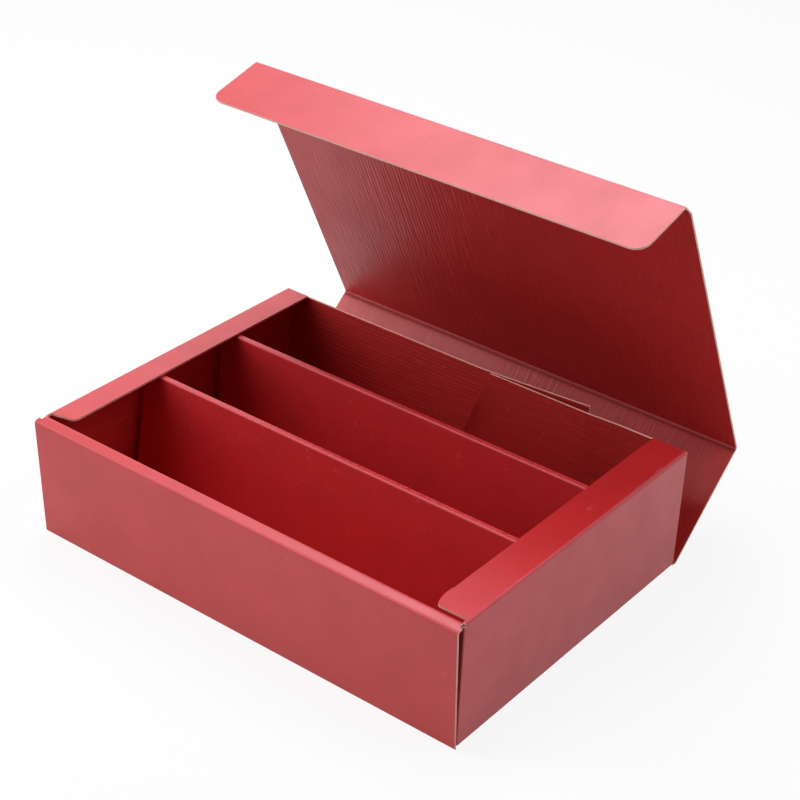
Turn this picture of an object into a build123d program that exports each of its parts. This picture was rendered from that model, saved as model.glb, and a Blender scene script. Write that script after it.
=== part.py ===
from build123d import *
import os

# A three-bottle shipping box folded from corrugated board, lid standing open.
# +X runs along the box, -Y is the front, the origin is the middle of the underside.

# board and folds
board = 1.5
fold_inside = 0.4
lap_gap = 0.1            # air between two layers of board that lie on each other
play = 0.3               # air between a moving panel and what it closes on
fold_outside = fold_inside + board
fold_middle = fold_inside + board / 2

# tray
box_length = 360.0
box_depth = 262.9        # front wall at the floor to the closed back panel
end_height = 95.0        # top of the inward returns on the end walls
front_height = 93.8      # outer crease of the front wall
front_lean = 4.9         # the front wall bulges outward this much at its top crease
front_overhang = 0.6     # the front wall covers the ends of the side walls by this
strip_height = 95.0      # inner crease of the roll-over on the front wall
strip_inset = 2.1        # the roll-over stops this far inside the ends of the box
corner_lift = 3.0        # ears and back flaps clear the floor by this much
left_return = 21.0
right_return = 27.5
return_front = -123.1    # front ends of the returns
return_mitre = 4.5       # the left return is cut back this much at its inner corner
left_corner = 3.0
right_corner = 11.0
return_back = 127.5
ear_length = 70.0
ear_top = 92.2
ear_taper = 12.0
ear_slope = 30.0

# interleaved flaps behind the bottles
flap_top = 93.2
tail_end = 95.0          # free end of the left flap, which lies behind
tail_taper = 4.0
joggle_start = 125.0     # the right flap steps forward between these two places
joggle_end = 98.0
hook_top = 14.7          # slanted free edge of the right flap at its top
hook_notch = 1.0         # and at the notch half way down
hook_notch_height = 53.0
hook_step = 2.0
hook_bottom = -18.2

# lock tabs of the roll-over
tab_length = 46.0
tab_place = 92.0
tab_air = 0.3

# folded insert with two tent-shaped dividers
insert_length = 353.0
insert_top = 92.4
pleat_base = 10.0
pleat_top = 5.2
pleat_leans = (11.8, 5.2)

# cover panels
crease_bead = 1.1        # rolled bead along a moving crease
bead_air = 0.12
cover_height = 96.8      # underside of the box to the top of the closed lid
tuck_front = -125.6      # outer face of the closed tuck flap
tuck_length = 50.0
tuck_inset = 3.3
tuck_corner = 10.0
panel_bend = 41.0        # degrees that each crease is folded from flat, as it stands open
lid_bend = 75.6
tuck_bend = 78.4

# faces of the layers, worked out from the board
half_length = box_length / 2
front_face = -box_depth / 2
back_face = box_depth / 2
ear_face = front_face + board + lap_gap
roll_inside = ear_face + board + lap_gap + board
rear_flap_face = back_face - board - play
near_flap_face = rear_flap_face - board - lap_gap
wall_middle = half_length - board / 2
corner_front = ear_face + fold_outside
corner_back = rear_flap_face - fold_outside
stub = fold_outside + fold_outside

# cover sizes from the tray's
cover_width = box_length + front_overhang + front_overhang
hinge_y = back_face - crease_bead
panel_length = cover_height - crease_bead - crease_bead
lid_length = hinge_y - (tuck_front + crease_bead)


# Board folded along a path in the given plane, from one place to another across it.
def folded(points, plane, low, high):
    path = FilletPolyline(*points, radius=fold_middle)
    return across(trace(path, board), plane, low, high)


# A flat shape pushed through from one place to another along +X, +Y or +Z.
def across(shape, plane, low, high):
    start = plane.offset(-high) if plane == Plane.XZ else plane.offset(low)
    return extrude(start * shape, amount=high - low)


def slab(low, high):
    size = [b - a for a, b in zip(low, high)]
    return Pos(*low) * Box(*size, align=(Align.MIN, Align.MIN, Align.MIN))


def outline(points):
    return make_face(Polyline(*points, close=True))


# Floor and both end walls in one run of board, with the strips of floor beyond them.
def floor_and_ends():
    floor = board / 2
    wall_top = end_height - fold_outside
    run = [(-wall_middle, wall_top), (-wall_middle, floor), (wall_middle, floor), (wall_middle, wall_top)]
    shell = folded(run, Plane.XZ, corner_front, corner_back)
    flat_half = half_length - fold_outside
    middle = slab((-flat_half, front_face + fold_outside, 0), (flat_half, hinge_y, board))
    back_strip = slab((-half_length, corner_back + play, 0), (half_length, hinge_y, board))
    return shell + middle + back_strip


# The inward return along the top of an end wall; side is -1 at the left and 1 at the right.
def end_return(side, width, mitre, corner):
    middle = end_height - board / 2
    inner = half_length - width
    run = [(side * inner, middle), (side * wall_middle, middle), (side * wall_middle, middle - stub)]
    band = folded(run, Plane.XZ, corner_front + play, return_back)
    flat = half_length - fold_outside
    plan = outline([
        (side * (half_length + play), corner_front),
        (side * flat, corner_front),
        (side * flat, return_front),
        (side * inner, return_front + mitre),
        (side * inner, back_face),
        (side * (half_length + play), back_face),
    ])
    inner_front = plan.vertices().sort_by_distance((side * inner, return_front + mitre))[0]
    return band & across(fillet(inner_front, corner), Plane.XY, 0, end_height + play)


# An ear turned in from an end wall, held between the two layers of the front wall.
def front_ear(side):
    middle = ear_face + board / 2
    tip = half_length - ear_length
    run = [(side * tip, middle), (side * wall_middle, middle), (side * wall_middle, corner_front + stub)]
    band = folded(run, Plane.XY, corner_lift, ear_top)
    shape = outline([
        (side * (half_length + play), 0),
        (side * (tip + ear_taper), 0),
        (side * tip, ear_slope),
        (side * tip, ear_top - ear_slope),
        (side * (tip + ear_taper), ear_top),
        (side * (half_length + play), ear_top),
    ])
    return band & across(shape, Plane.XZ, front_face, 0)


# The long flap from the left end wall, which lies behind and reaches past the middle.
def left_flap():
    middle = rear_flap_face - board / 2
    run = [(-wall_middle, corner_back - stub), (-wall_middle, middle), (tail_end, middle)]
    band = folded(run, Plane.XY, corner_lift, flap_top)
    shape = outline([
        (-half_length - play, 0),
        (tail_end - tail_taper, 0),
        (tail_end, flap_top / 2),
        (tail_end, flap_top),
        (-half_length - play, flap_top),
    ])
    return band & across(shape, Plane.XZ, 0, back_face)


# The flap from the right end wall, stepped forward over the other and cut on a slant.
def right_flap():
    rear = rear_flap_face - board / 2
    near = near_flap_face - board / 2
    run = [
        (wall_middle, corner_back - stub),
        (wall_middle, rear),
        (joggle_start, rear),
        (joggle_end, near),
        (hook_bottom, near),
    ]
    band = folded(run, Plane.XY, corner_lift, flap_top)
    shape = outline([
        (half_length + play, 0),
        (hook_bottom, 0),
        (hook_notch - hook_step, hook_notch_height),
        (hook_notch, hook_notch_height),
        (hook_top, flap_top),
        (half_length + play, flap_top),
    ])
    return band & across(shape, Plane.XZ, 0, back_face)


# Front wall: outer layer, narrow top and inner layer, all one run of board.
def front_wall():
    floor = board / 2
    top_crease = (front_face - front_lean + board / 2, front_height - board / 2)
    inner_crease = (roll_inside - board / 2, strip_height - board / 2)
    half_strip = ((top_crease[0] + inner_crease[0]) / 2, (top_crease[1] + inner_crease[1]) / 2)
    outer_run = [(front_face + stub, floor), (front_face + board / 2, floor), top_crease, half_strip]
    inner_run = [half_strip, inner_crease, (roll_inside - board / 2, board + tab_air)]
    outer_half = half_length + front_overhang
    inner_half = half_length - strip_inset
    outer = folded(outer_run, Plane.YZ, -outer_half, outer_half)
    inner = folded(inner_run, Plane.YZ, -inner_half, inner_half)
    strip_end = outline([top_crease, half_strip, (roll_inside, half_strip[1]), (front_face + stub, floor - board),
                         (front_face + fold_outside, floor - board), (front_face + board + lap_gap, fold_outside)])
    wall = outer + inner
    for side in (-1, 1):
        near, far = sorted((side * inner_half, side * (outer_half + play)))
        wall -= across(strip_end, Plane.YZ, near, far)
    return wall


# A block at the foot of the inner layer for each lock tab, or with air round it for its slot.
def lock_tabs(air):
    half = tab_length / 2 + air
    bottom, top = (-tab_air, board + tab_air) if air else (tab_air, board + board)
    return [
        slab((place - half, roll_inside - board - air, bottom), (place + half, roll_inside + air, top))
        for place in (-tab_place, tab_place)
    ]


# The whole folded insert: three floors with a tent-shaped divider between each two.
def divider_insert():
    front_edge = roll_inside + play
    back_edge = near_flap_face - board - play
    pocket = (back_edge - front_edge - len(pleat_leans) * pleat_base) / (len(pleat_leans) + 1)
    floor = board + board / 2
    top = insert_top - board / 2
    run = [(front_edge, floor)]
    y = front_edge
    for lean in pleat_leans:
        y += pocket
        middle = y + pleat_base / 2 + lean
        half_top = (pleat_top - board) / 2
        run += [(y + board / 2, floor), (middle - half_top, top), (middle + half_top, top)]
        y += pleat_base
        run += [(y - board / 2, floor)]
    run += [(back_edge, floor)]
    return folded(run, Plane.YZ, -insert_length / 2, insert_length / 2)


# A cover panel lying flat, inside face up, its root crease on the X axis at the origin.
def panel(width, length):
    bead = Rot(0, 90, 0) * Cylinder(crease_bead, width)
    plate = slab((-width / 2, 0, -crease_bead), (width / 2, length, board - crease_bead))
    return bead + plate


# Room for the bead of the next crease.
def bead_room(width, y, z):
    return Pos(0, y, z) * Rot(0, 90, 0) * Cylinder(crease_bead + bead_air, width + board)


# where the root crease of each cover panel lies, and how far the panel is folded
panel_frame = Pos(0, hinge_y, crease_bead) * Rot(panel_bend, 0, 0)
lid_frame = panel_frame * Pos(0, panel_length, 0) * Rot(lid_bend, 0, 0)
tuck_frame = lid_frame * Pos(0, lid_length, 0) * Rot(tuck_bend, 0, 0)


def tray():
    body = floor_and_ends() + front_wall() - lock_tabs(tab_air) + lock_tabs(0)
    body += end_return(-1, left_return, return_mitre, left_corner)
    body += end_return(1, right_return, 0, right_corner)
    body += front_ear(-1) + front_ear(1) + left_flap() + right_flap()
    body -= bead_room(cover_width, hinge_y, crease_bead)
    return body


def tuck_flap():
    width = cover_width - tuck_inset - tuck_inset
    flap = panel(width, tuck_length)
    corners = flap.edges().filter_by(Axis.Z).group_by(Axis.Y)[-1]
    return fillet(corners, tuck_corner)


nodes = {
    "tray": tray(),
    "divider_insert": divider_insert(),
    "back_panel": panel_frame * (panel(cover_width, panel_length) - bead_room(cover_width, panel_length, 0)),
    "lid": lid_frame * (panel(cover_width, lid_length) - bead_room(cover_width, lid_length, 0)),
    "tuck_flap": tuck_frame * tuck_flap(),
}

os.makedirs("parts", exist_ok=True)
for name, shape in nodes.items():
    export_step(shape, f"parts/{name}.step")
    box = shape.bounding_box()
    print(name, len(shape.solids()), "solid", round(shape.volume), box.min, box.max)
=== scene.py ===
import bpy
import math
import numpy as np
from mathutils import Matrix, Vector


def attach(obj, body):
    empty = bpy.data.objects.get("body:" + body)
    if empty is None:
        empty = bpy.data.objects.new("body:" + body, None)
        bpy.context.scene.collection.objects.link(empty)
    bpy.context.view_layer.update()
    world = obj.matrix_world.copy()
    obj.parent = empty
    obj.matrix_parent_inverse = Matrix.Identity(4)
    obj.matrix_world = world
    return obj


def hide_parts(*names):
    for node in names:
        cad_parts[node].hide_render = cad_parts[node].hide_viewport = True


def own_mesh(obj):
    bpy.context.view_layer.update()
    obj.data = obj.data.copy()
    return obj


# Bottle shipping box of red corrugated board, standing open. Lengths below are in millimetres.
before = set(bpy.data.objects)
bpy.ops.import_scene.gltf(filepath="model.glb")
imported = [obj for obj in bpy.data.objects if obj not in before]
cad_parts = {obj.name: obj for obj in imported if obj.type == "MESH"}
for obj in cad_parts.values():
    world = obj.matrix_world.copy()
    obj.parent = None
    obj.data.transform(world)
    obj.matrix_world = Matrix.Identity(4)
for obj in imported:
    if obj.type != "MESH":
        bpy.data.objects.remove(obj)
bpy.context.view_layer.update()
mm = 0.001


class Socket:  # an output of a node; the operators add Math nodes
    def __init__(self, tree, plug):
        self.tree = tree
        self.plug = plug

    def calc(self, operation, *values):
        return self.tree.add("ShaderNodeMath", {"operation": operation}, dict(enumerate(values)))

    def __add__(self, other):
        return self.calc("ADD", self, other)

    def __sub__(self, other):
        return self.calc("SUBTRACT", self, other)

    def __rsub__(self, other):
        return self.calc("SUBTRACT", other, self)

    def __mul__(self, other):
        return self.calc("MULTIPLY", self, other)

    def __truediv__(self, other):
        return self.calc("DIVIDE", self, other)

    __radd__ = __add__
    __rmul__ = __mul__

    def out(self, name):  # another output of the same node
        return Socket(self.tree, self.plug.node.outputs[name])


class Tree:
    def __init__(self, nodeTree):
        self.nodeTree = nodeTree

    def add(self, kind, settings=None, inputs=None, out=0):
        made = self.nodeTree.nodes.new(kind)
        for name, value in (settings or {}).items():
            setattr(made, name, value)
        for name, value in (inputs or {}).items():
            plug = made.inputs[name] if isinstance(name, int) else self.plugOf(made.inputs, name)
            for one in value if isinstance(value, list) else [value]:
                if isinstance(one, Socket):
                    self.nodeTree.links.new(one.plug, plug)
                else:
                    plug.default_value = one
        return Socket(self, made.outputs[out] if isinstance(out, int) else self.plugOf(made.outputs, out))

    def plugOf(self, plugs, name):  # a socket's identifier comes before its name
        return next((p for p in plugs if p.identifier == name), None) or plugs[name]


# the board: two liners and a fluted core, made flat and folded afterwards
boardMake = {
    "thickness": 1.5,
    "liner": 0.36,
    "corePaper": 0.32,
    "glueGap": 0.01,
    "flutePitch": 3.2,
    "stepsPerFlute": 6,
    "plainStep": 24.0,       # columns of a liner on which the flutes don't show
    "warpStep": 45.0,        # longest flat stretch without a row
    "washboard": 0.08,       # how far a liner sinks between two glue lines
    "washboardOutside": 0.014,
    "unevenness": 1.0,
    "unevenAcross": 0.37,    # how soon the washboard changes, across the flutes and along them
    "unevenAlong": 9,
    "weld": 1e-6,            # in metres
    "rimWidth": 0.3,         # at a cut along the flutes the core is pressed to the liners this far in
    "foldRadius": 1.15,
    "foldSteps": 5,
    "rubReach": (1.2, 4.0),  # rows beside a bend, which the rub and painted highlight of the bend reach too
    "coreStep": 0.8,         # least distance between two rows of the core
    "fullTurn": 0.6,         # a bend of this many radians or more gets the full rub and painted highlight
    "rubBeside": 0.35,       # how much rub and painted highlight the print has right beside a bend
    "rubFade": 2.5,          # and how soon that fades
    "warpLong": (61.0, 47.0, 0.10),   # waves of the panels' unevenness: across, along and height
    "warpShort": (23.0, 31.0, 0.03),
    "smoothAngle": 40.0,
    "seed": 11,
}
finishes = ("Outside", "Inside", "Core", "Cut Edge")
halfBoard = boardMake["thickness"] / 2


def makeBoardTree():
    group = bpy.data.node_groups.new("corrugatedBoard", "GeometryNodeTree")
    for name, kind in (
        ("Geometry", "NodeSocketGeometry"), ("Thickness", "NodeSocketFloat"), ("Liner", "NodeSocketFloat"),
        ("Core Paper", "NodeSocketFloat"), ("Glue Gap", "NodeSocketFloat"),
        ("Flute Pitch", "NodeSocketFloat"), ("Washboard", "NodeSocketFloat"),
        ("Washboard Outside", "NodeSocketFloat"), ("Unevenness", "NodeSocketFloat"),
        ("Seed", "NodeSocketInt"),
    ):
        group.interface.new_socket(name=name, in_out="INPUT", socket_type=kind)
    for name in finishes:
        group.interface.new_socket(name=name, in_out="INPUT", socket_type="NodeSocketMaterial")
    group.interface.new_socket(name="Geometry", in_out="OUTPUT", socket_type="NodeSocketGeometry")

    tree = Tree(group)
    given = tree.add("NodeGroupInput")
    place = tree.add("GeometryNodeInputPosition")
    across = tree.add("ShaderNodeSeparateXYZ", {}, {"Vector": place}).out("X")
    along = tree.add("ShaderNodeSeparateXYZ", {}, {"Vector": place}).out("Y")
    layer = tree.add("GeometryNodeInputNamedAttribute", {"data_type": "FLOAT"}, {"Name": "layer"})
    rim = tree.add("GeometryNodeInputNamedAttribute", {"data_type": "FLOAT"}, {"Name": "rim"})
    half = given.out("Thickness") / 2
    liner = given.out("Liner")
    paper = given.out("Core Paper")

    turn = across * (2 * math.pi) / given.out("Flute Pitch")
    wave = turn.calc("COSINE", turn)
    spot = tree.add("ShaderNodeCombineXYZ", {}, {
        "X": across / given.out("Flute Pitch") * boardMake["unevenAcross"] + given.out("Seed"),
        "Y": along * boardMake["unevenAlong"]})
    uneven = tree.add("ShaderNodeTexNoise", {"noise_dimensions": "2D"},
                      {"Vector": spot, "Scale": 1.0, "Detail": 2.0})
    sink = 1 + (uneven - 0.5) * 2 * given.out("Unevenness")
    isOutside = layer.calc("MAXIMUM", layer, 0)
    isInside = layer.calc("MAXIMUM", layer * -1, 0)
    isCore = 1 - isOutside - isInside
    coreWave = wave * (1 - rim.calc("ABSOLUTE", rim)) + rim
    coreHeight = coreWave * (half - liner - paper / 2 - given.out("Glue Gap")) - paper / 2
    outsideHeight = half - liner - (1 - wave) / 2 * sink * given.out("Washboard Outside")
    insideHeight = (1 + wave) / 2 * sink * given.out("Washboard") - half
    height = isCore * coreHeight + isOutside * outsideHeight + isInside * insideHeight
    thick = isCore * paper + (1 - isCore) * liner

    flat = tree.add("GeometryNodeStoreNamedAttribute", {"data_type": "FLOAT2", "domain": "CORNER"},
                    {"Geometry": given.out("Geometry"), "Name": "blank", "Value": place})
    lower = tree.add("GeometryNodeSetPosition", {}, {
        "Geometry": flat, "Offset": tree.add("ShaderNodeCombineXYZ", {}, {"Z": height})})
    weld = boardMake["weld"]
    lower = tree.add("GeometryNodeMergeByDistance", {}, {"Geometry": lower, "Distance": weld})
    upper = tree.add("GeometryNodeExtrudeMesh", {"mode": "FACES"}, {
        "Mesh": lower, "Offset": (0, 0, 1), "Offset Scale": thick, "Individual": False})
    side = upper.out("Side")
    top = upper.out("Top")
    upperFinish = side * 3 + (1 - side) * (2 - top * isOutside * 2)
    upper = tree.add("GeometryNodeStoreNamedAttribute", {"data_type": "FLOAT", "domain": "FACE"},
                     {"Geometry": upper, "Name": "finish", "Value": upperFinish})
    under = tree.add("GeometryNodeFlipFaces", {}, {"Mesh": lower})
    under = tree.add("GeometryNodeStoreNamedAttribute", {"data_type": "FLOAT", "domain": "FACE"},
                     {"Geometry": under, "Name": "finish", "Value": 2 - isInside})
    sheet = tree.add("GeometryNodeJoinGeometry", {}, {"Geometry": [upper, under]})
    sheet = tree.add("GeometryNodeMergeByDistance", {}, {"Geometry": sheet, "Distance": weld})
    sheet = tree.add("GeometryNodeRealizeInstances", {}, {"Geometry": sheet})
    finish = tree.add("GeometryNodeInputNamedAttribute", {"data_type": "FLOAT"}, {"Name": "finish"})
    for number, name in enumerate(finishes):
        chosen = finish.calc("COMPARE", finish, number, 0.1)
        sheet = tree.add("GeometryNodeSetMaterial", {}, {
            "Geometry": sheet, "Selection": chosen, "Material": given.out(name)})
    group.links.new(sheet.plug, group.nodes.new("NodeGroupOutput").inputs["Geometry"])
    return group


class FoldPath:  # centre line of a folded sheet in a plane, with a bend at each corner
    def __init__(self, points, radii=()):  # a radius for each corner, or the board's own
        self.parts = []      # start, x, y, heading, turn per length
        self.bends = []      # start, end and strength of each bend
        self.length = 0.0
        here = Vector(points[0])
        for k in range(1, len(points)):
            corner = Vector(points[k])
            ahead = (corner - Vector(points[k - 1])).normalized()
            heading = math.atan2(ahead.y, ahead.x)
            if k == len(points) - 1:
                self.grow(here, heading, 0.0, (corner - here).length)
                break
            following = (Vector(points[k + 1]) - corner).normalized()
            turn = math.atan2(ahead.x * following.y - ahead.y * following.x, ahead.dot(following))
            radius = radii[k - 1] if radii else boardMake["foldRadius"]
            back = radius * math.tan(abs(turn) / 2)
            self.grow(here, heading, 0.0, (corner - here).length - back)
            sharpness = min(1.0, boardMake["foldRadius"] / radius) ** 0.3
            strength = min(1.0, abs(turn) / boardMake["fullTurn"]) ** 2 * sharpness
            self.bends.append((self.length, self.length + radius * abs(turn), strength))
            self.grow(corner - ahead * back, heading, math.copysign(1 / radius, turn), radius * abs(turn))
            here = corner + following * back

    def grow(self, start, heading, turn, length):
        self.parts.append((self.length, start.x, start.y, heading, turn))
        self.length += length

    def at(self, s):  # points and left-hand normals at distances s
        parts = np.array(self.parts)
        index = np.clip(np.searchsorted(parts[:, 0], s, side="right") - 1, 0, len(parts) - 1)
        begin, x, y, heading, turn = parts[index].T
        gone = s - begin
        safe = np.where(turn == 0, 1.0, turn)
        now = heading + turn * gone
        dx = np.where(turn == 0, np.cos(heading) * gone, (np.sin(now) - np.sin(heading)) / safe)
        dy = np.where(turn == 0, np.sin(heading) * gone, (np.cos(heading) - np.cos(now)) / safe)
        return np.stack([x + dx, y + dy], 1), np.stack([-np.sin(now), np.cos(now)], 1)

    def stops(self, low, high):  # distances between two places that need a row, at bends and beside them
        found = [low, high]
        steps, reaches = boardMake["foldSteps"], boardMake["rubReach"]
        for start, end, strength in self.bends:
            found += [start + (end - start) * k / steps for k in range(steps + 1)]
            if strength > 0.2:
                found += [start - reach for reach in reaches] + [end + reach for reach in reaches]
        return tidy([s for s in found if low <= s <= high])

    def crease(self, s):  # rub and painted highlight of the folds: 1 in the middle of a bend, fading out beside it
        amount = np.zeros(len(s))
        beside, fade = boardMake["rubBeside"], boardMake["rubFade"]
        for start, end, strength in self.bends:
            share = np.clip((s - start) / (end - start), 0, 1)
            away = np.maximum(np.maximum(start - s, s - end), 0)
            here = beside * np.exp(-away / fade) + (1 - beside) * np.sin(math.pi * share)
            amount = np.maximum(amount, strength * here)
        return amount

    def bent(self, s):  # 1 inside a bend
        inside = sum(((s > start) & (s < end)) * 1.0 for start, end, strength in self.bends)
        return np.clip(inside + np.zeros(len(s)), 0, 1)


def tidy(values, least=0.02):  # sorted, with no two closer than the least gap
    kept = []
    for value in sorted(values):
        if not kept or value - kept[-1] > least:
            kept.append(value)
    return kept


def divide(values, longest):  # the same stops, with long gaps cut into equal steps
    done = []
    for a, b in zip(values, values[1:]):
        steps = max(1, math.ceil((b - a) / longest))
        done += [a + (b - a) * k / steps for k in range(steps)]
    return done + [values[-1]]


def panelArea(u0, u1, rows, low=None, high=None, marks=(), skip=(), cuts=(True, True)):
    # part of a blank: u runs across the flutes and v along them
    # low and high give a slanted or rounded end at each u; cuts tells which of its sides are cut edges
    return {"u": (u0, u1), "rows": divide(tidy(rows), boardMake["warpStep"]), "low": low, "high": high,
            "marks": list(marks), "skip": list(skip), "cuts": cuts}


def flatMesh(name, areas, fluted):
    # the layers are -1 inside, 0 core and 1 outside; fluted names the liners that follow the flutes
    points, layers, rims, faces = [], [], [], []
    fine = boardMake["flutePitch"] / boardMake["stepsPerFlute"]
    for layer in (-1, 0, 1):
        step = fine if layer == 0 or layer in fluted else boardMake["plainStep"]
        for area in areas:
            u0, u1 = area["u"]
            columns = [k * step for k in range(math.ceil(u0 / step), math.floor(u1 / step) + 1)]
            pressed = [u for u, cut in zip((u0, u1), area["cuts"]) if cut and layer == 0]
            wanted = [u0, u1] + [m for m in area["marks"] if u0 < m < u1]
            wanted += [u + math.copysign(boardMake["rimWidth"], (u0 + u1) / 2 - u) for u in pressed]
            columns = tidy(wanted + [c for c in columns if all(abs(c - w) > 0.1 for w in wanted)])
            first, last = area["rows"][0], area["rows"][-1]
            rows = area["rows"]
            if layer == 0:
                rows = tidy([row for row in rows if row < last - 0.02], boardMake["coreStep"]) + [last]
            base = len(points)
            for u in columns:
                low = area["low"](u) if area["low"] else first
                high = area["high"](u) if area["high"] else last
                rim = 0.0
                for edge in pressed:  # the core meets one liner at the cut and the other beside it
                    if abs(u - edge) < 0.01:
                        rim = 1.0
                    elif abs(abs(u - edge) - boardMake["rimWidth"]) < 0.01:
                        rim = -1.0
                for v in rows:
                    share = (v - first) / (last - first)
                    points.append((u * mm, (low + (high - low) * share) * mm, 0))
                    layers.append(layer)
                    rims.append(rim)
            for i in range(len(columns) - 1):
                for j in range(len(rows) - 1):
                    middle = ((columns[i] + columns[i + 1]) / 2, (rows[j] + rows[j + 1]) / 2)
                    if any(a < middle[0] < b and c < middle[1] < d for a, b, c, d in area["skip"]):
                        continue
                    a = base + i * len(rows) + j
                    faces.append((a, a + len(rows), a + len(rows) + 1, a + 1))
    mesh = bpy.data.meshes.new(name)
    mesh.from_pydata(points, [], faces)
    mesh.attributes.new("layer", "FLOAT", "POINT").data.foreach_set("value", layers)
    mesh.attributes.new("rim", "FLOAT", "POINT").data.foreach_set("value", rims)
    return mesh


def flute(mesh, materials):  # runs the board tree on a flat mesh and gives the plain result
    source = bpy.data.objects.new("flat", mesh)
    bpy.context.scene.collection.objects.link(source)
    modifier = source.modifiers.new("board", "NODES")
    modifier.node_group = boardTree
    given = {
        "Thickness": boardMake["thickness"] * mm, "Liner": boardMake["liner"] * mm,
        "Core Paper": boardMake["corePaper"] * mm, "Glue Gap": boardMake["glueGap"] * mm,
        "Flute Pitch": boardMake["flutePitch"] * mm, "Washboard": boardMake["washboard"] * mm,
        "Washboard Outside": boardMake["washboardOutside"] * mm, "Unevenness": boardMake["unevenness"],
        "Seed": boardMake["seed"], **dict(zip(finishes, materials)),
    }
    for item in boardTree.interface.items_tree:
        if item.in_out == "INPUT" and item.name in given:
            modifier[item.identifier] = given[item.name]
    graph = bpy.context.evaluated_depsgraph_get()
    made = bpy.data.meshes.new_from_object(
        source.evaluated_get(graph), preserve_all_data_layers=True, depsgraph=graph)
    bpy.data.objects.remove(source)
    return made


def warp(u, v, seed):  # the slight unevenness of a real panel, in millimetres
    across, along, high = boardMake["warpLong"]
    finer, finerAlong, low = boardMake["warpShort"]
    a = np.sin(u / across + seed) * np.cos(v / along + 2.1 * seed)
    b = np.sin(u / finer + 3.3 * seed + v / finerAlong)
    return high * a + low * b


def fold(mesh, shape):  # shape turns u, v and t in millimetres into places, rubbing and scoring
    count = len(mesh.vertices)
    flat = np.empty(count * 3, np.float32)
    mesh.vertices.foreach_get("co", flat)
    u, v, t = flat.reshape(-1, 3).T.astype(float) / mm
    places, rubbed, scored = shape(u, v, t)
    mesh.vertices.foreach_set("co", (places * mm).astype(np.float32).ravel())
    for kind, amount in (("rubbed", rubbed), ("scored", scored)):
        mesh.attributes.new(kind, "FLOAT", "POINT").data.foreach_set("value", amount.astype(np.float32))
    mesh.update()
    corners = places[np.array([list(p.vertices)[:3] for p in mesh.polygons])]
    volume = np.einsum("ij,ij->i", corners[:, 0], np.cross(corners[:, 1], corners[:, 2])).sum()
    if volume < 0:
        mesh.flip_normals()
    return mesh


def alongPath(path, plane, outward, runs, start=0.0, seed=0.0, spring=None, rub=(), shade=()):
    # runs is "u" or "v", whichever follows the path; outward is 1 if the outside is on the path's left
    # rub and shade are stretches of the path: rub is pale print, wear with painted highlight; shade is
    # painted shade for a dark slot: from, to, how much
    def shape(u, v, t):
        s, across = (u - start, v) if runs == "u" else (v - start, u)
        point, normal = path.at(s)
        bump = warp(u, v, seed) * (1 - path.bent(s))
        point = point + normal * (outward * (t + bump))[:, None]
        columns = {"XZ": (point[:, 0], across, point[:, 1]),
                   "YZ": (across, point[:, 0], point[:, 1]),
                   "XY": (point[:, 0], point[:, 1], across)}[plane]
        places = np.stack(columns, 1)
        if spring:
            places += spring(places)
        rubbed, shaded = path.crease(s), np.zeros(len(s))
        for low, high, amount in rub:
            rubbed = np.where((s > low) & (s < high), np.maximum(rubbed, amount), rubbed)
        for low, high, amount in shade:
            inside = (s > low) & (s < high)
            rubbed, shaded = np.where(inside, 0, rubbed), np.where(inside, amount, shaded)
        return places, rubbed, shaded
    return shape


def onPanel(matrix, seed=0.0, edges=()):
    # a cover panel: flat, its root crease on its own X axis, its outside facing down
    middle = halfBoard - crease["bead"]
    def shape(u, v, t):
        away = np.min([np.abs(v - edge) for edge in edges], axis=0)
        # the score line: the inside liner sinks into a shallow groove, and its darkening is painted shade
        scored = np.exp(-((np.abs(v - edges[-1]) - crease["scorePlace"]) / crease["scoreWidth"]) ** 2)
        scored *= (t < 0) * len(edges) / 2
        bump = warp(u, v, seed) * np.clip(away / crease["stillReach"], 0, 1)
        z = middle - t * (1 - crease["scoreDepth"] * scored) - bump
        local = np.stack([u, v, z, np.ones(len(u))], 1)
        rubbed = crease["rub"] * np.exp(-away / crease["rubFade"])
        return (local @ np.array(matrix).T)[:, :3], rubbed, scored
    return shape


def makePiece(name, bands, materials, body, replaced=()):
    # bands: areas of the blank, layers on which flutes show, and the shape that they are folded to
    parts = []
    for number, (areas, fluted, shape) in enumerate(bands):
        if isinstance(areas, bpy.types.Mesh):
            mesh = areas
        else:
            mesh = fold(flute(flatMesh(f"{name}Flat{number}", areas, fluted), materials), shape)
        piece = bpy.data.objects.new(name if number == 0 else f"{name}{number}", mesh)
        bpy.context.scene.collection.objects.link(piece)
        parts.append(piece)
    if len(parts) > 1:
        chosen = {"active_object": parts[0], "selected_editable_objects": parts, "selected_objects": parts}
        with bpy.context.temp_override(**chosen):
            bpy.ops.object.join()
    piece = parts[0]
    piece.name = name
    piece.data.polygons.foreach_set("use_smooth", [True] * len(piece.data.polygons))
    piece.data.set_sharp_from_angle(angle=math.radians(boardMake["smoothAngle"]))
    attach(piece, body)
    for node in replaced:
        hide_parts(node)
    print(name, "on", body, len(piece.data.polygons), "faces")
    return piece


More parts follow.
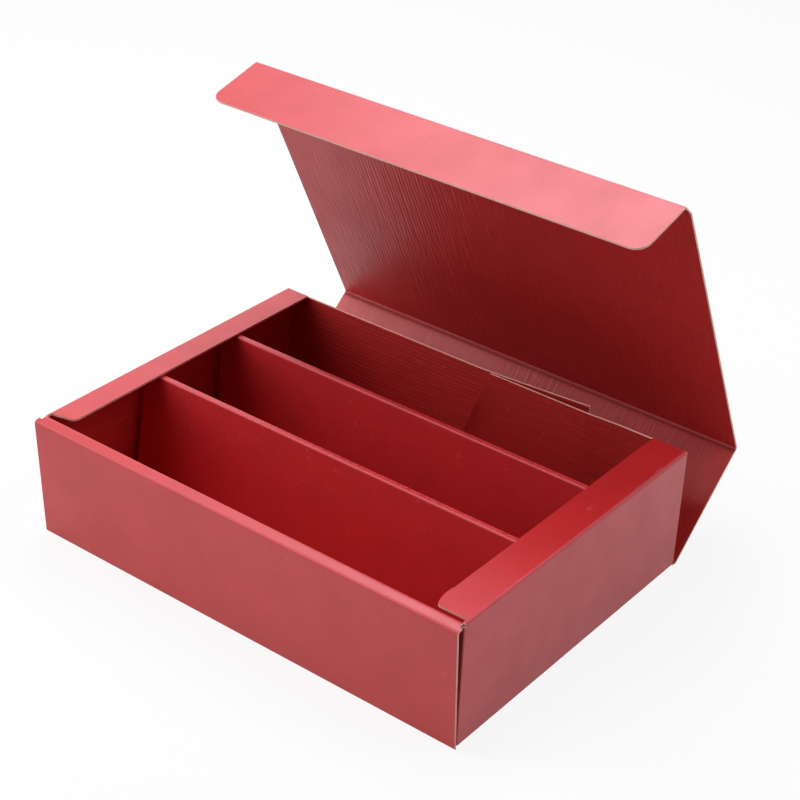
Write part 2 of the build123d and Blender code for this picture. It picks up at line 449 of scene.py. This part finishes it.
# finishes: red print on both sides of the board, raw paper inside it and at its cuts
# in each look the shade colour is painted shade, and the pale worn colour is both wear and painted
# highlight
redLook = {
    "ink": (0.573, 0.021, 0.025, 1), "inkDeep": (0.455, 0.014, 0.016, 1), "wearAndHighlight": (0.70, 0.115, 0.14, 1),
    "shade": (0.16, 0.003, 0.004, 1), "roughness": 0.40, "coat": 0.22, "coatRoughness": 0.30,
    "grain": 0.6, "ribs": 0.012, "streaks": 0.25, "side": 1,
}
insideLook = {
    "ink": (0.48, 0.022, 0.022, 1), "inkDeep": (0.39, 0.014, 0.014, 1), "wearAndHighlight": (0.66, 0.12, 0.13, 1),
    "shade": (0.15, 0.003, 0.003, 1), "roughness": 0.46, "coat": 0.12, "coatRoughness": 0.40,
    "grain": 1.6, "ribs": 0.20, "streaks": 3.8, "side": -1,
}
markSizes = {  # of the marks in the print
    "mottle": 30.0, "fibres": 1.2, "streaks": 3.0, "scuffs": 5.0, "cockle": 9.0, "grain": 0.5,
    "wearAndHighlightGrain": 2.2,
}
markStretch = {"fibres": (1.0, 0.16, 1.0), "streaks": (1.0, 0.11, 1.0), "scuffs": (1.0, 0.5, 1.0)}
markShow = {  # how strongly the marks show
    "mottleFrom": 0.35, "mottle": 1.6, "fibres": 0.8, "scored": 0.8,
    "wearAndHighlightFrom": 0.85, "wearAndHighlightGrain": 0.7, "wearAndHighlight": 2.0, "wearAndHighlightMost": 0.5,
    "scuffFrom": 0.63, "scuff": 2.5, "scuffMost": 0.28,
    "bumpCockle": 0.7, "bumpGrain": 0.12, "bumpDepth": 0.1,
    "dullMottle": 0.18, "dullGrain": 0.08, "dullScoreAndShade": 0.3, "dullWearAndHighlight": 0.55, "coatWearAndHighlight": 1.4,
}
paperMarks = {"fibreSize": 0.6, "stainSize": 4.0, "fibres": 0.8, "stain": 0.6, "less": 0.3, "depth": 0.05}
cutLook = {"pale": (1.00, 0.70, 0.60, 1), "dark": (0.97, 0.52, 0.44, 1), "roughness": 0.85}
coreLook = {"pale": (0.96, 0.60, 0.50, 1), "dark": (0.84, 0.42, 0.34, 1), "roughness": 0.90}


def newMaterial(name):
    material = bpy.data.materials.new(name)
    material.use_nodes = True
    material.node_tree.nodes.clear()
    return material, Tree(material.node_tree)


def closeMaterial(tree, shader):
    end = tree.nodeTree.nodes.new("ShaderNodeOutputMaterial")
    tree.nodeTree.links.new(shader.plug, end.inputs["Surface"])


def mixColour(tree, share, a, b):
    given = {"Factor_Float": share, "A_Color": a, "B_Color": b}
    return tree.add("ShaderNodeMix", {"data_type": "RGBA"}, given, "Result_Color")


def noise(tree, coords, size, detail=2.0, stretch=None):  # size in millimetres
    if stretch:
        coords = tree.add("ShaderNodeMapping", {}, {"Vector": coords, "Scale": stretch})
    given = {"Vector": coords, "Scale": 1 / (size * mm), "Detail": detail}
    return tree.add("ShaderNodeTexNoise", {}, given)


def printedBoard(name, look):
    material, tree = newMaterial(name)
    coords = tree.add("ShaderNodeTexCoord", out="Object")
    blank = tree.add("ShaderNodeUVMap", {"uv_map": "blank"})
    rubbed = tree.add("ShaderNodeAttribute", {"attribute_name": "rubbed"}, out="Fac")
    scored = tree.add("ShaderNodeAttribute", {"attribute_name": "scored"}, out="Fac")
    mottle = noise(tree, coords, markSizes["mottle"], 4.0)
    fibres = noise(tree, blank, markSizes["fibres"], 3.0, markStretch["fibres"])
    streaks = noise(tree, blank, markSizes["streaks"], 1.5, markStretch["streaks"])
    scuffs = noise(tree, coords, markSizes["scuffs"], 5.0, markStretch["scuffs"])
    cockle = noise(tree, coords, markSizes["cockle"])
    grain = noise(tree, coords, markSizes["grain"])
    across = tree.add("ShaderNodeSeparateXYZ", {}, {"Vector": blank}).out("X")
    turn = across * (2 * math.pi / (boardMake["flutePitch"] * mm))
    ribs = turn.calc("COSINE", turn) * look["side"]

    show = markShow
    deep = (mottle - show["mottleFrom"]) * show["mottle"] + (fibres - 0.5) * show["fibres"]
    ink = mixColour(tree, deep, look["ink"], look["inkDeep"])
    # pale print: scuffs and rubbed folds are wear, and on folds, ridges and crease beads it is also painted
    # highlight
    wearAndHighlightGrain = noise(tree, coords, markSizes["wearAndHighlightGrain"], 3.0)
    wearAndHighlight = (rubbed + wearAndHighlightGrain * show["wearAndHighlightGrain"] - show["wearAndHighlightFrom"]) * show["wearAndHighlight"]
    wearAndHighlight = wearAndHighlight.calc("SMOOTH_MIN", wearAndHighlight.calc("MAXIMUM", wearAndHighlight, 0), show["wearAndHighlightMost"], 0.1)
    scuffed = (scuffs - show["scuffFrom"]) * show["scuff"]
    wearAndHighlight = wearAndHighlight.calc("MAXIMUM", wearAndHighlight, scuffed.calc("MINIMUM", scuffed, show["scuffMost"]))
    # painted shade: the score lines and the ear's dark slot are mixed towards the shade colour
    shaded = mixColour(tree, scored * show["scored"], ink, look["shade"])
    colour = mixColour(tree, wearAndHighlight, shaded, look["wearAndHighlight"])
    height = ribs * look["ribs"] + streaks * look["streaks"] + cockle * show["bumpCockle"]
    height = height + (grain + fibres) * (show["bumpGrain"] * look["grain"])
    bump = tree.add("ShaderNodeBump", {}, {
        "Strength": 1.0, "Distance": show["bumpDepth"] * mm, "Height": height})
    rough = look["roughness"] + (mottle - 0.5) * show["dullMottle"] + (grain - 0.5) * show["dullGrain"]
    rough = rough + scored * show["dullScoreAndShade"] + wearAndHighlight * show["dullWearAndHighlight"]
    shader = tree.add("ShaderNodeBsdfPrincipled", {}, {
        "Base Color": colour, "Roughness": rough, "Normal": bump,
        "Coat Weight": (1 - scored) * (1 - wearAndHighlight * show["coatWearAndHighlight"]) * look["coat"],
        "Coat Roughness": look["coatRoughness"]})
    closeMaterial(tree, shader)
    return material


def rawPaper(name, look):
    material, tree = newMaterial(name)
    coords = tree.add("ShaderNodeTexCoord", out="Object")
    p = paperMarks
    fibres = noise(tree, coords, p["fibreSize"], 3.0)
    stain = noise(tree, coords, p["stainSize"])
    dark = fibres * p["fibres"] + stain * p["stain"] - p["less"]
    colour = mixColour(tree, dark, look["pale"], look["dark"])
    bump = tree.add("ShaderNodeBump", {}, {"Strength": 0.5, "Distance": p["depth"] * mm, "Height": fibres})
    shader = tree.add("ShaderNodeBsdfPrincipled", {}, {
        "Base Color": colour, "Roughness": look["roughness"], "Normal": bump})
    closeMaterial(tree, shader)
    return material


redOutside = printedBoard("redOutside", redLook)
redInside = printedBoard("redInside", insideLook)
corePaper = rawPaper("corePaper", coreLook)
cutPaper = rawPaper("cutPaper", cutLook)
boardFinish = (redOutside, redInside, corePaper, cutPaper)
boardTree = makeBoardTree()
print("materials and board tree made")


# tray: floor, end walls, returns, ears, back flaps and the roll-over front wall
tray = {
    "halfLength": 180.0, "halfWallMiddle": 179.25, "floorMiddle": 0.75, "returnMiddle": 94.25,
    "leftReturn": 159.0, "rightReturn": 152.8,      # inner edges of the returns
    "leftFront": -123.1, "leftMitre": 4.5, "leftCorner": (3.0, 3.0),
    "rightFront": -123.2, "rightCorner": (5.5, 20.0), "nibWidth": 1.0, "nibBack": -106.5,
    "returnBack": 127.5, "cornerSteps": 10,
    "returnFold": 1.5, "topFold": 1.15,              # rounder folds: returns, and the front wall's top
    "wallFront": -126.9, "wallBack": 127.75, "floorFront": -129.55, "hinge": 130.35,
    "slotHalf": 23.3, "slotPlace": 92.0, "slotFront": -128.55, "slotBack": -126.45, "tabHalf": 23.0,
    "earMiddle": -129.1, "earCorner": -127.9, "earFold": 0.8, "earFlat": 170.0, "earTip": 110.0,
    "earTaper": 12.0, "earSlope": 30.0, "earTop": 92.2, "lift": 3.0,
    "slotShade": 0.6,        # painted shade for the dark slot begins at this share of the way to the end of the ear's fold
    "rearFlap": 128.9, "nearFlap": 127.3, "flapTop": 93.2, "tailEnd": 95.0, "tailTaper": 4.0,
    "joggleStart": 125.0, "joggleEnd": 98.0,
    "hookTop": 14.7, "hookNotch": 1.0, "notchHeight": 53.0, "hookBottom": -18.2,
    "curlReach": 13.0, "curlOut": 1.6, "curlTop": 30.0, "curlFoot": 10.0, "curlClear": 20.0,
    "curlRows": (14, 11, 8, 5.5, 3.5, 1.5), "curlMarks": (8, 13),
    "springStart": 4.0, "springOut": 7.6, "springPower": 1.2, "springFoot": 16.0,
    "springLeast": 0.12, "springPressed": 0.17,
    "tailSteps": 18, "tailFirst": 10,                # rows of the rear flap, crowded where it springs
    "backStripFront": 128.05, "cornerStrip": 1.95,
    "frontHalf": 180.6, "rollHalf": 177.9, "frontFoot": -130.7, "frontTop": (-135.6, 93.05),
    "rollTop": (-127.5, 94.25), "rollFoot": 1.8, "tabFoot": 0.3,
}


def roundedCorner(inner, toward, front, mitre, corner):
    # front edge of a return: a slanted line from its fold to its inner edge, with a round corner there
    width, depth = corner
    def low(u):
        gone = abs(u - inner)
        line = front + mitre * (1 - gone / toward)
        if gone >= width:
            return line
        return line + depth * (1 - math.sqrt(max(0.0, 1 - (1 - gone / width) ** 2)))
    return low


def trayBands():
    t = tray
    w = t["halfWallMiddle"]
    loop = FoldPath([(-t["leftReturn"], t["returnMiddle"]), (-w, t["returnMiddle"]), (-w, t["floorMiddle"]),
                     (w, t["floorMiddle"]), (w, t["returnMiddle"]), (t["rightReturn"], t["returnMiddle"])],
                    (t["returnFold"], boardMake["foldRadius"], boardMake["foldRadius"], t["returnFold"]))
    b = loop.bends
    centre = (b[1][1] + b[2][0]) / 2       # u is 0 in the middle of the floor
    marks = [s - centre for s in loop.stops(0, loop.length)]
    leftEdge, rightEdge = -centre, loop.length - centre
    leftFold, rightFold = b[0][0] - centre, b[3][1] - centre
    steps = t["cornerSteps"]
    rounding = [1 - math.cos(math.pi * k / (2 * steps)) for k in range(1, steps + 1)]
    leftRound = [leftEdge + t["leftCorner"][0] * share for share in rounding]
    nib = rightEdge + t["nibWidth"]
    rightRound = [nib - t["rightCorner"][0] * share for share in rounding]
    leftLow = roundedCorner(leftEdge, leftFold - leftEdge, t["leftFront"], t["leftMitre"], t["leftCorner"])
    rightLow = roundedCorner(nib, rightEdge - rightFold, t["rightFront"], 0, t["rightCorner"])
    wall = [t["wallFront"], t["wallBack"]]
    slots = [(place - t["slotHalf"], place + t["slotHalf"], t["slotFront"], t["slotBack"])
             for place in (-t["slotPlace"], t["slotPlace"])]
    floorRows = [t["floorFront"], t["slotFront"], t["slotBack"], t["hinge"]]
    floorMarks = [edge for slot in slots for edge in slot[:2]]
    shell = [
        panelArea(leftEdge, leftFold, [t["leftFront"], t["returnBack"]], low=leftLow, marks=leftRound,
                  cuts=(True, False)),
        panelArea(leftFold, b[1][1] - centre, wall, marks=marks, cuts=(False, False)),
        panelArea(b[1][1] - centre, b[2][0] - centre, floorRows, marks=floorMarks, skip=slots,
                  cuts=(False, False)),
        panelArea(b[2][0] - centre, rightFold, wall, marks=marks, cuts=(False, False)),
        panelArea(rightFold, rightEdge, [t["rightFront"], t["nibBack"], t["returnBack"]], low=rightLow,
                  marks=rightRound, cuts=(False, True)),
        panelArea(rightEdge, nib, [t["rightFront"], t["nibBack"]], low=rightLow,
                  marks=rightRound, cuts=(False, False)),
    ]
    bands = [(shell, (-1, 1), alongPath(loop, "XZ", -1, "u", start=-centre, seed=0.4))]
    strip = FoldPath([(-t["halfLength"], t["floorMiddle"]), (t["halfLength"], t["floorMiddle"])])
    for side in (-1, 1):  # the floor's two corners behind the end walls
        ends = sorted((side * t["halfLength"], side * (t["halfLength"] - t["cornerStrip"])))
        area = panelArea(*ends, [t["backStripFront"], t["hinge"]])
        bands.append(([area], (), alongPath(strip, "XZ", -1, "u", start=-t["halfLength"])))

    for side in (-1, 1):
        ear = FoldPath([(side * w, t["wallFront"]), (side * w, t["earCorner"]),
                        (side * t["earFlat"], t["earMiddle"]), (side * t["earTip"], t["earMiddle"])],
                       (t["earFold"], boardMake["foldRadius"]))
        flat = ear.bends[1][1]
        middle = t["earTop"] / 2

        def tip(z):  # the free end tapers above and below
            past = max(0.0, abs(z - middle) - (middle - t["earSlope"]))
            return ear.length - t["earTaper"] * past / t["earSlope"]
        slopes = [t["earSlope"], t["earTop"] - t["earSlope"]]
        areas = [panelArea(t["lift"], t["earTop"], ear.stops(0, flat)),
                 panelArea(t["lift"], t["earTop"], [flat, ear.length], high=tip, marks=slopes)]
        # painted shade on the ear, where it lies deep in the gap at the front corner
        slot = [(t["slotShade"] * ear.bends[0][1], ear.length, 1.0)]
        bands.append((areas, (), alongPath(ear, "XY", side, "v", seed=1.1, shade=slot)))

    near = FoldPath([(w, t["wallBack"]), (w, t["rearFlap"]), (t["joggleStart"], t["rearFlap"]),
                     (t["joggleEnd"], t["nearFlap"]), (t["hookBottom"], t["nearFlap"])])
    flat = near.bends[2][1]

    def slant(z):  # the slanted free edge, which changes its slant half way down
        if z > t["notchHeight"]:
            share = (z - t["notchHeight"]) / (t["flapTop"] - t["notchHeight"])
            x = t["hookNotch"] + (t["hookTop"] - t["hookNotch"]) * share
        else:
            x = t["hookBottom"] + (t["hookNotch"] - t["hookBottom"]) * z / t["notchHeight"]
        return near.length - (x - t["hookBottom"])

    def curl(places):  # the free edge stands forward a little, most of all at its lower half
        x, y, z = places.T
        edge = np.array([near.length - slant(height) + t["hookBottom"] for height in z])
        closeness = np.clip(1 - (x - edge) / t["curlReach"], 0, 1) ** 2
        lower = np.clip((t["flapTop"] - z) / t["curlTop"], 0, 1)
        lower *= np.clip((z - t["lift"]) / t["curlFoot"], 0, 1)
        free = x < t["joggleEnd"] - t["curlClear"]
        return np.stack([0 * x, -t["curlOut"] * closeness * lower * free, 0 * x], 1)
    notch = t["notchHeight"]
    rows = [flat, *(near.length - reach for reach in t["curlRows"]), near.length]
    areas = [panelArea(t["lift"], t["flapTop"], near.stops(0, flat)),
             panelArea(t["lift"], t["flapTop"], rows, high=slant, marks=[*t["curlMarks"], notch])]
    bands.append((areas, (-1,), alongPath(near, "XY", -1, "v", seed=3.7, spring=curl)))
    return bands


def rearFlapBands():  # the long flap from the left, whose free end springs back while nothing presses on it
    t = tray
    w = t["halfWallMiddle"]
    tail = FoldPath([(-w, t["wallBack"]), (-w, t["rearFlap"]), (t["tailEnd"], t["rearFlap"])])
    flat = tail.bends[0][1]
    end = lambda z: tail.length - t["tailTaper"] * max(0.0, 1 - z / (t["flapTop"] / 2))

    def spring(places):
        x, y, z = places.T
        reach = (x - t["springStart"]) / (t["tailEnd"] - t["springStart"])
        reach = np.clip(reach, 0, 1.1) ** t["springPower"]
        foot = np.clip(t["springLeast"] + (z - t["lift"]) / t["springFoot"], 0, 1)
        return np.stack([0 * x, t["springOut"] * reach * foot, 0 * x], 1)
    steps = t["tailSteps"]
    rest = [flat + (tail.length - flat) * k / steps for k in range(t["tailFirst"], steps)]
    areas = [panelArea(t["lift"], t["flapTop"], tail.stops(0, flat)),
             panelArea(t["lift"], t["flapTop"], [flat] + rest + [tail.length], high=end)]
    return [(areas, (-1,), alongPath(tail, "XY", 1, "v", seed=2.3, spring=spring))]


def frontBands():
    t = tray
    radius = boardMake["foldRadius"]
    roll = FoldPath([(t["floorFront"], t["floorMiddle"]), (t["frontFoot"], t["floorMiddle"]), t["frontTop"],
                     t["rollTop"], (t["rollTop"][0], t["tabFoot"])], (radius, t["topFold"], radius))
    top = (roll.bends[1][1] + roll.bends[2][0]) / 2
    foot = roll.length - (t["rollFoot"] - t["tabFoot"])
    areas = [panelArea(-t["frontHalf"], t["frontHalf"], roll.stops(0, top)),
             panelArea(-t["rollHalf"], t["rollHalf"], roll.stops(top, foot))]
    for place in (-t["slotPlace"], t["slotPlace"]):
        areas.append(panelArea(place - t["tabHalf"], place + t["tabHalf"], [foot, roll.length]))
    return [(areas, (), alongPath(roll, "YZ", 1, "v", seed=5.2))]


makePiece("trayShell", trayBands(), boardFinish, "tray", ["tray"])
makePiece("frontWall", frontBands(), boardFinish, "tray")
rearFlap = makePiece("rearFlap", rearFlapBands(), boardFinish, "tray")
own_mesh(rearFlap)


# insert: three floors with a tent between each two
insert = {
    "left": -174.0, "right": 176.5, "front": -126.45, "back": 126.25,
    "floorMiddle": 2.25, "topMiddle": 91.65,
    "base": 10.0, "top": 5.2, "leans": (11.8, 5.2),
    "foot": 1.15, "ridge": 0.75, "ridgeWearAndHighlight": 0.55,   # bend radii, and how much rub and painted highlight the flat ridge has
}


def insertBands():
    i = insert
    pocket = (i["back"] - i["front"] - len(i["leans"]) * i["base"]) / (len(i["leans"]) + 1)
    points = [(i["front"], i["floorMiddle"])]
    y = i["front"]
    for lean in i["leans"]:
        y += pocket
        middle = y + i["base"] / 2 + lean
        halfTop = (i["top"] - boardMake["thickness"]) / 2
        points += [(y + halfBoard, i["floorMiddle"]), (middle - halfTop, i["topMiddle"]),
                   (middle + halfTop, i["topMiddle"])]
        y += i["base"]
        points += [(y - halfBoard, i["floorMiddle"])]
    points += [(i["back"], i["floorMiddle"])]
    pleats = FoldPath(points, [i["foot"], i["ridge"], i["ridge"], i["foot"]] * len(i["leans"]))
    # the flat ridge tops are rubbed pale: wear, and a painted highlight of their sheen
    ridges = [(pleats.bends[k][1], pleats.bends[k + 1][0], i["ridgeWearAndHighlight"]) for k in (1, 5)]
    areas = [panelArea(i["left"], i["right"], pleats.stops(0, pleats.length))]
    return [(areas, (), alongPath(pleats, "YZ", 1, "v", seed=6.6, rub=ridges))]


makePiece("dividerInsert", insertBands(), boardFinish, "tray", ["divider_insert"])


# cover: back panel, lid and tuck flap, each with the rolled bead of its root crease
crease = {
    "bead": 1.1, "hingeY": 130.35, "panelLength": 94.6, "lidLength": 254.85, "tuckLength": 50.0,
    "halfCover": 180.6, "halfTuck": 177.3, "tuckCorner": 10.0, "cornerSteps": 8, "lidCorner": 1.2,
    "panelBend": 41.0, "lidBend": 75.6, "tuckBend": 78.4,
    "beadSides": 20, "beadStep": 12.0, "beadWearAndHighlight": 0.95, "proud": -0.15,
    "rub": 0.3, "rubFade": 3.0,      # how much rub and painted highlight the print has beside a crease, and how soon that fades
    "stillReach": 20.0,              # a panel is even at its creases and uneven from here on
    "scorePlace": 2.2, "scoreWidth": 1.3, "scoreDepth": 0.4,  # the pressed line before the next crease: a shallow groove, with painted shade in it
    "rows": (0.8, 1.3, 1.8, 2.3, 2.9, 3.6, 4.6, 7.0, 12.0),
}


def creaseBead(name, half, matrix):  # the crushed board that a crease turns on, with paper at its two ends
    c = crease
    sides, radius = c["beadSides"], c["bead"]
    columns = divide([-half - c["proud"], half + c["proud"]], c["beadStep"])
    angles = [2 * math.pi * k / sides for k in range(sides)]
    points = [(x, radius * math.cos(a), radius * math.sin(a)) for x in columns for a in angles]
    faces, slots = [], []
    for i in range(len(columns) - 1):
        for k in range(sides):
            a, b = i * sides + k, i * sides + (k + 1) % sides
            faces.append((a, b, b + sides, a + sides))
            slots.append(0 if math.sin(2 * math.pi * (k + 0.5) / sides) < 0.2 else 1)
    faces += [tuple(reversed(range(sides))), tuple((len(columns) - 1) * sides + k for k in range(sides))]
    slots += [2, 2]
    mesh = bpy.data.meshes.new(name)
    mesh.from_pydata([tuple((matrix @ Vector(p)) * mm) for p in points], [], faces)
    for material in (redOutside, redInside, cutPaper):
        mesh.materials.append(material)
    mesh.polygons.foreach_set("material_index", slots)
    layer = mesh.uv_layers.new(name="blank")
    for loop in mesh.loops:
        x, y, z = points[loop.vertex_index]
        layer.data[loop.index].uv = (x * mm, math.atan2(z, y) * radius * mm)
    # the bead's print is pale all round: wear, and a painted highlight of the crease
    for kind, amount in (("rubbed", c["beadWearAndHighlight"]), ("scored", 0.0)):
        mesh.attributes.new(kind, "FLOAT", "POINT").data.foreach_set("value", [amount] * len(points))
    mesh.update()
    return mesh


def tuckEnd(u):  # free edge of the tuck flap with its two round corners
    c = crease
    gone = max(0.0, abs(u) - (c["halfTuck"] - c["tuckCorner"]))
    return c["tuckLength"] - (c["tuckCorner"] - math.sqrt(max(0.0, c["tuckCorner"] ** 2 - gone ** 2)))


def lidEnd(u):  # far edge of the lid, its corners cut back to the narrower tuck flap
    return crease["lidLength"] - max(0.0, abs(u) - crease["halfTuck"]) * crease["lidCorner"]


def turned(matrix, y, z, degrees):
    return matrix @ Matrix.Translation((0, y, z)) @ Matrix.Rotation(math.radians(degrees), 4, "X")


panelMatrix = turned(Matrix.Identity(4), crease["hingeY"], crease["bead"], crease["panelBend"])
lidMatrix = turned(panelMatrix, crease["panelLength"], 0, crease["lidBend"])
tuckMatrix = turned(lidMatrix, crease["lidLength"], 0, crease["tuckBend"])
quarter = [math.pi * k / (2 * crease["cornerSteps"]) for k in range(1, crease["cornerSteps"] + 1)]
cornerMarks = [side * (crease["halfTuck"] - crease["tuckCorner"] * math.cos(a))
               for side in (-1, 1) for a in quarter]
lidMarks = [-crease["halfTuck"], crease["halfTuck"]]
coverPieces = (  # name, node, place, half its width, length, far edge, columns, fluted layers, seed
    ("backPanel", "back_panel", panelMatrix, crease["halfCover"], crease["panelLength"],
     None, (), (1,), 7.9),
    ("lidPanel", "lid", lidMatrix, crease["halfCover"], crease["lidLength"],
     lidEnd, lidMarks, (-1,), 9.1),
    ("tuckFlap", "tuck_flap", tuckMatrix, crease["halfTuck"], crease["tuckLength"],
     tuckEnd, cornerMarks, (-1, 1), 10.7),
)
for name, node, matrix, half, length, high, columns, fluted, seed in coverPieces:
    edges = (0, length) if node != "tuck_flap" else (0,)
    rows = [0, *crease["rows"], *(length - row for row in crease["rows"] if len(edges) == 2), length]
    area = panelArea(-half, half, rows, high=high, marks=columns)
    bead = creaseBead(name + "Bead", half, matrix)
    bands = [([area], fluted, onPanel(matrix, seed, edges)), (bead, (), None)]
    makePiece(name, bands, boardFinish, node, [node])


# camera, floor and light
camera = {
    "place": (710.8, -916.5, 812.2), "azimuth": 36.91, "elevation": 30.32, "roll": 2.48,
    "focal": 1990.17, "image": 800, "centre": (392.9, 385.3), "sensor": 36.0, "clip": (0.05, 30),
}
light = {
    "worldDiffuse": 0.02, "worldSeen": 1.0,
    "floorColour": (0.86, 0.86, 0.86, 1), "floorGlow": 0.88, "floorMirrored": 0.62, "floorSize": 6.0,
    "floorDrop": 0.0002,
    "aim": (0.0, 0.05, 0.08), "cool": (0.97, 0.99, 1.10), "plain": (1.0, 1.0, 1.0),
    "lamps": (  # name, place and size in metres, power in watts, tint
        ("sideKey", (-1.70, -0.80, 0.90), 1.2, 15.3, "plain"),
        ("leftMid", (-1.20, -1.20, 1.50), 1.2, 7.4, "plain"),
        ("highKey", (-0.75, -0.35, 1.75), 1.3, 11.3, "plain"),
        ("frontLow", (-0.40, -2.00, 0.70), 1.2, 3.8, "plain"),
        ("rightBack", (1.00, 0.50, 1.20), 1.0, 8.3, "plain"),
        ("backHigh", (-0.35, 0.55, 1.85), 1.0, 12.4, "cool"),
        ("backLow", (-0.72, 0.86, 1.60), 0.9, 5.0, "cool"),
        ("leftEdge", (-1.30, 1.15, 0.98), 0.8, 1.2, "cool"),
    ),
}


def makeCamera():
    c = camera
    az, el, roll = (math.radians(c[k]) for k in ("azimuth", "elevation", "roll"))
    back = Vector((math.sin(az) * math.cos(el), -math.cos(az) * math.cos(el), math.sin(el)))
    right = Vector((math.cos(az), math.sin(az), 0))
    up = back.cross(right)
    x = right * math.cos(roll) + up * math.sin(roll)
    y = up * math.cos(roll) - right * math.sin(roll)
    lens = bpy.data.cameras.new("camera")
    lens.sensor_width = c["sensor"]
    lens.lens = c["sensor"] * c["focal"] / c["image"]
    lens.shift_x = 0.5 - c["centre"][0] / c["image"]
    lens.shift_y = c["centre"][1] / c["image"] - 0.5
    lens.clip_start, lens.clip_end = c["clip"]
    holder = bpy.data.objects.new("camera", lens)
    bpy.context.scene.collection.objects.link(holder)
    holder.matrix_world = Matrix((
        (x.x, y.x, back.x, c["place"][0] * mm), (x.y, y.y, back.y, c["place"][1] * mm),
        (x.z, y.z, back.z, c["place"][2] * mm), (0, 0, 0, 1)))
    bpy.context.scene.camera = holder


def makeFloor():
    material, tree = newMaterial("floorPaper")
    ray = tree.add("ShaderNodeLightPath")
    mirrored = ray.calc("MAXIMUM", ray.out("Is Glossy Ray"), ray.out("Is Transmission Ray"))
    share = ray.out("Is Camera Ray") * light["floorGlow"] + mirrored * light["floorMirrored"]
    matt = tree.add("ShaderNodeBsdfDiffuse", {}, {"Color": light["floorColour"]})
    glow = tree.add("ShaderNodeEmission", {}, {"Color": (1, 1, 1, 1), "Strength": 1.0})
    both = tree.add("ShaderNodeMixShader", {}, {0: share, 1: matt, 2: glow})
    closeMaterial(tree, both)
    mesh = bpy.data.meshes.new("floor")
    r = light["floorSize"]
    mesh.from_pydata([(-r, -r, 0), (r, -r, 0), (r, r, 0), (-r, r, 0)], [], [(0, 1, 2, 3)])
    mesh.materials.append(material)
    floor = bpy.data.objects.new("floor", mesh)
    floor.location.z = -light["floorDrop"]
    bpy.context.scene.collection.objects.link(floor)


def makeLamp(name, place, size, power, tint):
    lamp = bpy.data.lights.new(name, "AREA")
    lamp.shape = "DISK"
    lamp.size = size
    lamp.energy = power
    lamp.color = light[tint]
    holder = bpy.data.objects.new(name, lamp)
    bpy.context.scene.collection.objects.link(holder)
    holder.location = place
    ahead = Vector(light["aim"]) - Vector(place)
    holder.rotation_euler = ahead.to_track_quat("-Z", "Y").to_euler()


def makeWorld():
    world = bpy.data.worlds.new("studio")
    world.use_nodes = True
    world.node_tree.nodes.clear()
    tree = Tree(world.node_tree)
    ray = tree.add("ShaderNodeLightPath")
    seen = ray.calc("MAXIMUM", ray.out("Is Camera Ray"), ray.out("Is Glossy Ray"))
    seen = ray.calc("MAXIMUM", seen, ray.out("Is Transmission Ray"))
    strength = seen * light["worldSeen"] + (1 - seen) * light["worldDiffuse"]
    glow = tree.add("ShaderNodeBackground", {}, {"Color": (1, 1, 1, 1), "Strength": strength})
    end = world.node_tree.nodes.new("ShaderNodeOutputWorld")
    world.node_tree.links.new(glow.plug, end.inputs["Surface"])
    bpy.context.scene.world = world


makeCamera()
makeFloor()
for lamp in light["lamps"]:
    makeLamp(*lamp)
makeWorld()
bpy.context.scene.view_settings.view_transform = "Standard"
print("camera, floor and light made")
